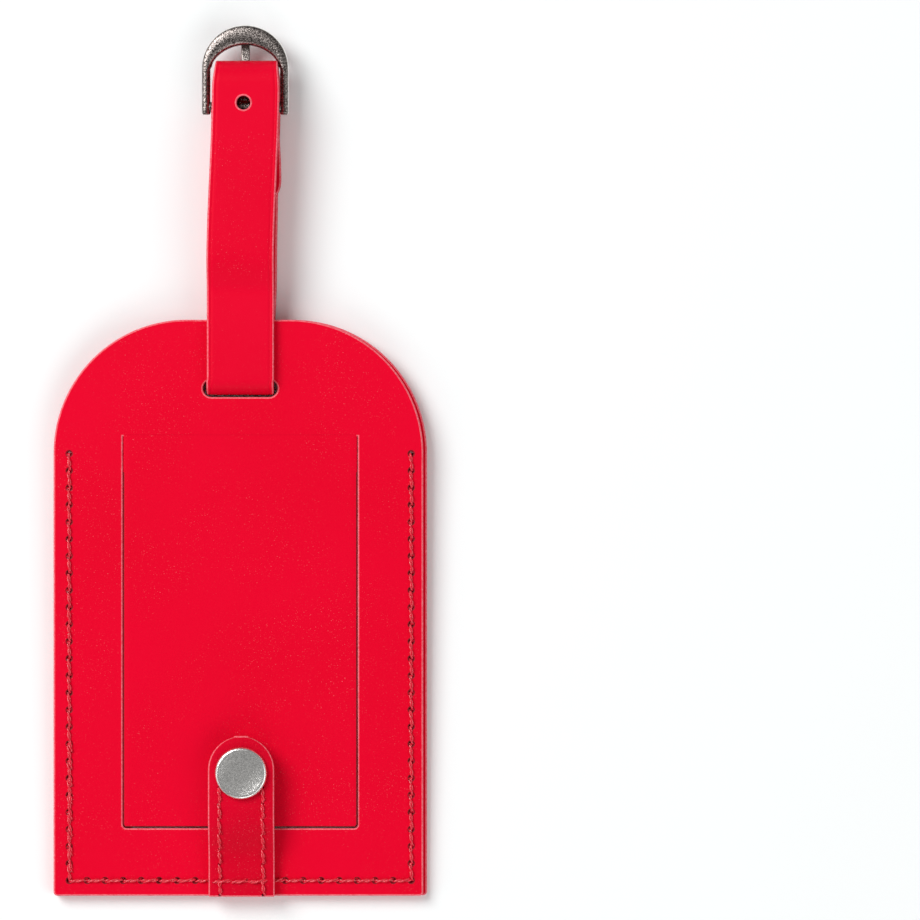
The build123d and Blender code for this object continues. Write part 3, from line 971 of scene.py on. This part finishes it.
def front_edges(y):
    """The front strand moves right as it rises to the buckle, and narrows in its fold."""
    shift = 0.1 * MM + 1.05 * MM * ease(y, BOTTOM + 118 * MM, BOTTOM + 152 * MM)
    narrow = ease(y, BOTTOM + 151 * MM, tongue_high.y)
    return -STRAP_HALF + shift + 0.55 * MM * narrow, STRAP_HALF + shift - 0.4 * MM * narrow


def tail_edges(y):
    """The holed end's tail, which runs out in a round tip."""
    tip = tongue_low.y
    left, right = front_edges(y)
    middle = (left + right) / 2
    past = max(0.0, tip + STRAP_HALF - y)
    half = math.sqrt(max(STRAP_HALF**2 - past**2, (0.9 * MM) ** 2))
    return max(left, middle - half), min(right, middle + half)


def rear_edges(y):
    """The rear strand moves right as it rises to the buckle."""
    shift = 0.45 * MM * ease(y, TOP - 6 * MM, TOP + 8 * MM) + 0.45 * MM * ease(y, TOP + 5 * MM, BAR.y)
    narrow = 0.3 * MM * ease(y, TOP + 20 * MM, BAR.y)
    return -STRAP_HALF + shift + narrow, STRAP_HALF + shift


def end_edges(y):
    """The folded-back end of the buckle strand, turned a little to the right, corners round."""
    shift = BUCKLE_X + 0.45 * MM * ease(BAR.y - y, 0, 14 * MM)
    near = max(0.0, END_CORNER - (y - END_TIP_Y))
    inset = END_CORNER - math.sqrt(max(0.0, END_CORNER**2 - near**2))
    return -STRAP_HALF + shift + inset, STRAP_HALF + shift - inset


def tail_stations():
    """The holed tail, from its tip to the fold over the crown."""
    tip = tongue_low.y
    tail = [tip + STRAP_HALF * (1 - math.cos(math.radians(turn))) for turn in range(12, 83, 10)]
    tail += [y for y, _ in divide([(tip + STRAP_HALF, 0), (FOLD_Y, 0)])]
    return [(*tail_edges(y), y, TONGUE_Z) for y in tail]


def front_stations():
    """The fold, the front strand with its dip to the slot, and the turn through the slot."""
    top = WRAP_Z + WRAP
    dip = [(DIP_Y + 6.5 * MM, FRONT_STRAND_Z), (DIP_Y + 1.0 * MM, top)]
    line = arc((FOLD_Y, FOLD_Z), FOLD, -90, 90, 26)[1:]
    line += rounded([(FOLD_Y, FRONT_STRAND_Z), *dip, (WRAP_Y, top)], [9 * MM, 6 * MM])[1:]
    turn = arc((WRAP_Y, WRAP_Z), WRAP, 90, 270, 22)[1:]
    return [(*front_edges(y), y, z) for y, z in line] + [(-STRAP_HALF, STRAP_HALF, y, z) for y, z in turn]


def rear_stations():
    """The rear strand's climb from the slot, and its turn round the bar."""
    low = WRAP_Z - WRAP
    climb = [(DIP_Y + 2.5 * MM, low), (DIP_Y + 9 * MM, REAR_Z)]
    line = rounded([(WRAP_Y, low), *climb, (BAR.y, REAR_Z)], [12 * MM, 12 * MM])[1:]
    turn = arc((BAR.y, BAR.z), BAR.z - REAR_Z, -90, 90, 20)[1:]
    return [(*rear_edges(y), y, z) for y, z in line] + [(*rear_edges(BAR.y), y, z) for y, z in turn]


def end_stations():
    """The end that is folded back over the rear strand, and its round corners."""
    over = BAR.z + (BAR.z - REAR_Z)
    drop = [(BAR.y - 2 * MM, over), (BAR.y - 8 * MM, END_Z)]
    line = rounded([(BAR.y, over), *drop, (END_TIP_Y + END_CORNER, END_Z)], [3 * MM, 3 * MM])[1:]
    for turn in range(12, 73, 12):
        line.append((END_TIP_Y + END_CORNER * (1 - math.sin(math.radians(turn))), END_Z))
    return [(*end_edges(y), y, z) for y, z in line]


def strap_wave(place):
    """Slight unevenness beyond the tag's top edge."""
    fade = ease(place.y, TOP + 6 * MM, TOP + 14 * MM)
    return fade * noise.noise(Vector((place.x * 0.6, place.y, place.z * 3)) * 90) * 0.05 * MM


def strap():
    """The whole strap, with its two punched holes and its openings for the prong."""
    finishes = [STRAP_LEATHER, PALE_EDGE_AND_HIGHLIGHT, HOLE_SHADE, SIDE_SHADE]
    lines = face_lines(12, 2 * STRAP_HALF, 0.5 * MM, 0.06 * MM)
    stations = tail_stations() + front_stations() + rear_stations() + end_stations()
    half = STRAP_THICK / 2
    obj = strip("strap", stations, half, STRAP_EDGE, lines, finishes, (True, True), strap_wave)
    cut(obj, pins("front_hole", [HOLE], PUNCH, FRONT_STRAND_Z - 2 * MM, FRONT_STRAND_Z + 3 * MM, 36))
    cut(obj, pins("rear_hole", [REAR_HOLE], PUNCH, TONGUE_Z - 2 * MM, TONGUE_Z + 1.1 * MM, 36))
    cut(obj, prong_hole())
    cut(obj, prong_slot())
    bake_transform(obj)
    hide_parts("strap_slot_turn", "strap_tongue", "strap_buckle_end")


def hole_lip():
    """The raised lip round the front strand's hole, in the pale edge colour that is partly painted
    highlight.
    """
    lip = [
        (1.28 * MM, -0.25 * MM), (1.32 * MM, 0.02 * MM), (1.40 * MM, 0.09 * MM), (1.50 * MM, 0.09 * MM),
        (1.60 * MM, 0.03 * MM), (1.66 * MM, -0.05 * MM), (1.5 * MM, -0.3 * MM), (1.28 * MM, -0.25 * MM),
    ]
    ring = lathe("hole_lip", Vector((*HOLE, tongue_high.z)), lip, [PALE_EDGE_AND_HIGHLIGHT], 48, None, 60)
    settle(ring, "strap", "strap_leather")


def end_stitches():
    """The row of thread that closes the fold round the bar."""
    y, z = BAR.y - 10.5 * MM, END_Z + STRAP_THICK / 2
    runs = []
    for n in range(4):
        x = BUCKLE_X + (n - 2) * 3 * MM
        runs.append(straight((x + 0.1 * MM, y, z), (x + 2.9 * MM, y, z), FRONT))
    thread_piece("strap_end_thread", runs, "strap", "strap_end_stitch")


def prong_hole():
    """A hole along the prong where it crosses the strap's fold."""
    rest_z = BAR.z - (buckle_high.z - buckle_low.z) / 2 - 0.65 * MM
    start = (BAR.y + (bar_high.z - bar_low.z) / 2 + 0.3 * MM, BAR.z - 0.1 * MM)
    knee = (buckle_high.y - CROWN_BAND, rest_z)
    slope = (knee[1] - start[1]) / (knee[0] - start[0])
    middle_y = FOLD_Y + FOLD
    middle = Vector((BUCKLE_X, middle_y, start[1] + slope * (middle_y - start[0])))
    hole = pins("prong_hole", [(0, 0)], 1.55 * MM, -3.5 * MM, 3.5 * MM, 28)
    turn = Matrix.Rotation(math.atan(slope) - math.pi / 2, 4, "X")
    hole.data.transform(Matrix.Translation(middle) @ turn)
    return hole


def prong_slot():
    """A slot with round ends, across the turn round the bar, for the prong."""
    half, reach = 1.35 * MM, 3.2 * MM
    loop = arc((BUCKLE_X, BAR.y + reach - half), half, 0, 180, 10)
    loop += arc((BUCKLE_X, BAR.y - reach + half), half, 180, 360, 10)
    points, faces = [], []
    add_prism(points, faces, loop, BAR.z - 4 * MM, BAR.z + 2.6 * MM)
    # the slot's walls take the dark hole colour, painted shade
    return from_faces("prong_slot", points, faces, [HOLE_SHADE])


# ---------------------------------------------------------------- buckle
def buckle_section():
    """The frame's section, from its inner side (-1) to its outer (1): gently domed over a flat back."""
    dome = [(-math.cos(math.radians(a)), math.sin(math.radians(a)) ** 0.5) for a in range(3, 178, 6)]
    under = [(1.0, -0.45), (0.90, -0.82), (0.62, -0.98), (0.0, -1.0)]
    return dome + under + [(-across, through) for across, through in under[-2::-1]]


LEG = 1.6 * MM
ARCH_RADIUS = 7.5 * MM
ARCH_CORNER = 0.30 * MM
RIM_HIGHLIGHT_FROM = 0.85
LEG_ROWS, ARC_ROWS = 14, 36


def buckle_pairs():
    """Matching points of the frame's outer and inner outlines, up one leg and down the other."""
    outer = (buckle_high.x - buckle_low.x) / 2
    inner = outer - LEG
    outer_y = buckle_high.y - outer
    arch_y = buckle_high.y - CROWN_BAND - ARCH_RADIUS
    arch_end = math.acos(inner / ARCH_RADIUS)
    knee_y = arch_y + ARCH_RADIUS * math.sin(arch_end)
    start = buckle_low.y + 0.5 * MM
    pairs = []
    for k in range(LEG_ROWS):
        share = k / LEG_ROWS
        pairs.append(((outer, start + (outer_y - start) * share), (inner, start + (knee_y - start) * share)))
    for k in range(ARC_ROWS + 1):
        turn = math.pi / 2 * k / ARC_ROWS
        near_turn = arch_end + (math.pi / 2 - arch_end) * k / ARC_ROWS
        soften = ARCH_CORNER * math.exp(-k / 3.0)
        away = (outer * math.cos(turn), outer_y + outer * math.sin(turn))
        near_x = ARCH_RADIUS * math.cos(near_turn) - soften
        near_y = arch_y + ARCH_RADIUS * math.sin(near_turn) - soften * 0.5
        pairs.append((away, (near_x, near_y)))
    return pairs + [((-a[0], a[1]), (-b[0], b[1])) for a, b in pairs[:-1][::-1]]


def leg_end(row):
    """The rows that round off the foot of a leg, outwards."""
    middle, reach, _ = row
    rows = []
    for share in (0.35, 0.7, 0.95):
        drop = Vector((0, 0.5 * MM * math.sin(share * math.pi / 2), 0))
        rows.append((middle - drop, reach * (1 - 0.35 * share**2), 1 - 0.3 * share**2))
    return rows


def buckle():
    """The frame, painted dark to stand for the dark surroundings it reflects, with a painted highlight along
    its outer rim.
    """
    half = (buckle_high.z - buckle_low.z) / 2
    middle_z = (buckle_high.z + buckle_low.z) / 2
    ring = buckle_section()
    rows = []
    for away, near in buckle_pairs():
        away, near = Vector((*away, 0)), Vector((*near, 0))
        rows.append(((away + near) / 2, (away - near) / 2, 1.0))
    rows = leg_end(rows[0])[::-1] + rows + leg_end(rows[-1])
    points, faces = [], []
    for middle, reach, thick in rows:
        for across, through in ring:
            place = middle + reach * across
            points.append(Vector((place.x + BUCKLE_X, place.y, middle_z + half * through * thick)))
    join_rings(faces, 0, len(rows), len(ring))
    # the outer rim's upper facets get the painted highlight
    painted_highlight_mask = [1 if across > RIM_HIGHLIGHT_FROM and through > 0 else 0 for across, through in ring]
    slots = painted_highlight_mask * (len(rows) - 1) + [0, 0]
    obj = from_faces("buckle_hoop", points, faces, [NICKEL_PAINTED_DARK, NICKEL_RIM_HIGHLIGHT], slots, 48)
    settle(obj, "buckle", "bright_nickel", "buckle_frame")


# ---------------------------------------------------------------- card
RULE_LOW, RULE_HIGH = BOTTOM + 28 * MM, BOTTOM + 80 * MM
HEADING_LOW = BOTTOM + 31.5 * MM


def card():
    """The card, with round corners."""
    radius = 0.5 * MM
    left, right = card_low.x + radius, card_high.x - radius
    low, high = card_low.y + radius, card_high.y - radius
    outline = []
    for x, y, start in ((right, low, -90), (right, high, 0), (left, high, 90), (left, low, 180)):
        outline += arc((x, y), radius, start, start + 90, 5)
    sheet = plate("card_sheet", outline, [], card_low.z, card_high.z, 0.04 * MM, [PAPER])
    settle(sheet, "card", "card", "id_card")


def printed_bars():
    """Ruled lines with plain bars for words at their starts, and a heading of bars beside them."""
    bars = []
    for n, words in enumerate(((5.5, 3.2), (4.4, 5.0), (3.0, 5.6), (6.6, 2.6))):
        x = -FLAP_HALF + (17.6 + 7.0 * n) * MM
        bars.append((x - 0.09 * MM, RULE_LOW, x + 0.09 * MM, RULE_HIGH))
        word = RULE_LOW - 1.5 * MM
        for length in words:
            bars.append((x - 1.0 * MM, word - length * MM, x - 0.55 * MM, word))
            word -= (length + 0.9) * MM
    left, right = -FLAP_HALF + 7.0 * MM, -FLAP_HALF + 9.3 * MM
    heading = HEADING_LOW
    for length in (4.2, 7.6, 5.0, 8.4):
        bars.append((left, heading, right, heading + length * MM))
        heading += (length + 1.5) * MM
    return bars


def card_print():
    points, faces = [], []
    for left, low, right, high in printed_bars():
        loop = [(left, low), (right, low), (right, high), (left, high)]
        add_prism(points, faces, loop, card_high.z - 0.02 * MM, card_high.z + 0.004 * MM)
    ruling = from_faces("card_print", points, faces, [INK], None, 20)
    settle(ruling, "card", "card")


# ---------------------------------------------------------------- carried-over parts
def carried_parts():
    """The metal pieces whose design shape is kept, in their finishes."""
    finishes = {
        "snap_socket": SATIN_NICKEL, "snap_stud": SATIN_NICKEL, "socket_spring": SPRING_WIRE,
        "heel_bar": NICKEL_PAINTED_DARK, "buckle_prong": NICKEL_PAINTED_DARK,
    }
    for node, finish in finishes.items():
        mesh = frame["nodes"][node].data
        mesh.materials.clear()
        mesh.materials.append(finish)


# ---------------------------------------------------------------- stage, light and camera
def floor():
    """A pale surface that the part lies on: it touches the tag's foot and the strap's tip."""
    tree = Tree("floor")
    shade = tree.mix(tree.noise(30, 2), (0.955, 0.98, 0.98), (0.965, 0.985, 0.985))
    finish = tree.set(Base_Color=shade, Roughness=0.9, Specular_IOR_Level=0.1)
    slope = -tongue_low.z / (tongue_low.y - BOTTOM)
    reach, steps = 1.5, 12
    points, faces = [], []
    for row in range(steps + 1):
        for column in range(steps + 1):
            x, y = reach * (2 * column / steps - 1), reach * (2 * row / steps - 1)
            points.append((x, y, -(y - BOTTOM) * slope - 0.02 * MM))
    for row in range(steps):
        for column in range(steps):
            k = row * (steps + 1) + column
            faces.append((k, k + 1, k + steps + 2, k + steps + 1))
    from_faces("floor", points, faces, [finish])


def lamp(name, place, target, size, power):
    light = bpy.data.lights.new(name, "AREA")
    light.shape = "DISK"
    light.size = size
    light.energy = power
    obj = bpy.data.objects.new(name, light)
    bpy.context.scene.collection.objects.link(obj)
    obj.location = place
    obj.rotation_euler = (Vector(target) - Vector(place)).to_track_quat("-Z", "Y").to_euler()


def studio():
    world = bpy.data.worlds.new("studio")
    bpy.context.scene.world = world
    world.use_nodes = True
    world.node_tree.nodes["Background"].inputs["Color"].default_value = (1, 1, 1, 1)
    world.node_tree.nodes["Background"].inputs["Strength"].default_value = 0.25
    middle = (0.02, 0.03, 0)
    lamp("key", (-0.68, 0.62, 0.95), middle, 0.85, 13.5)
    lamp("fill_right", (0.9, -0.35, 0.85), middle, 1.1, 4.5)
    lamp("fill_low", (0.1, -1.05, 0.75), middle, 0.8, 3)
    lamp("fill_left", (-1.1, -0.2, 0.6), middle, 0.8, 2)
    bpy.context.scene.view_settings.view_transform = "Standard"


def camera():
    """Straight down from far enough that the sides hardly show, with the part left of centre."""
    distance, right, up = 0.95, 41.2 * MM, BOTTOM + 81.7 * MM
    data = bpy.data.cameras.new("camera")
    data.lens = 197.8
    data.clip_start = 0.05
    data.clip_end = 10
    obj = bpy.data.objects.new("camera", data)
    bpy.context.scene.collection.objects.link(obj)
    obj.location = (right, up, distance)
    bpy.context.scene.camera = obj


panels()
flap()
flap_root()
panel_seams()
tab()
snap_cap()
flange()
strap()
hole_lip()
end_stitches()
buckle()
card()
card_print()
carried_parts()
floor()
studio()
camera()
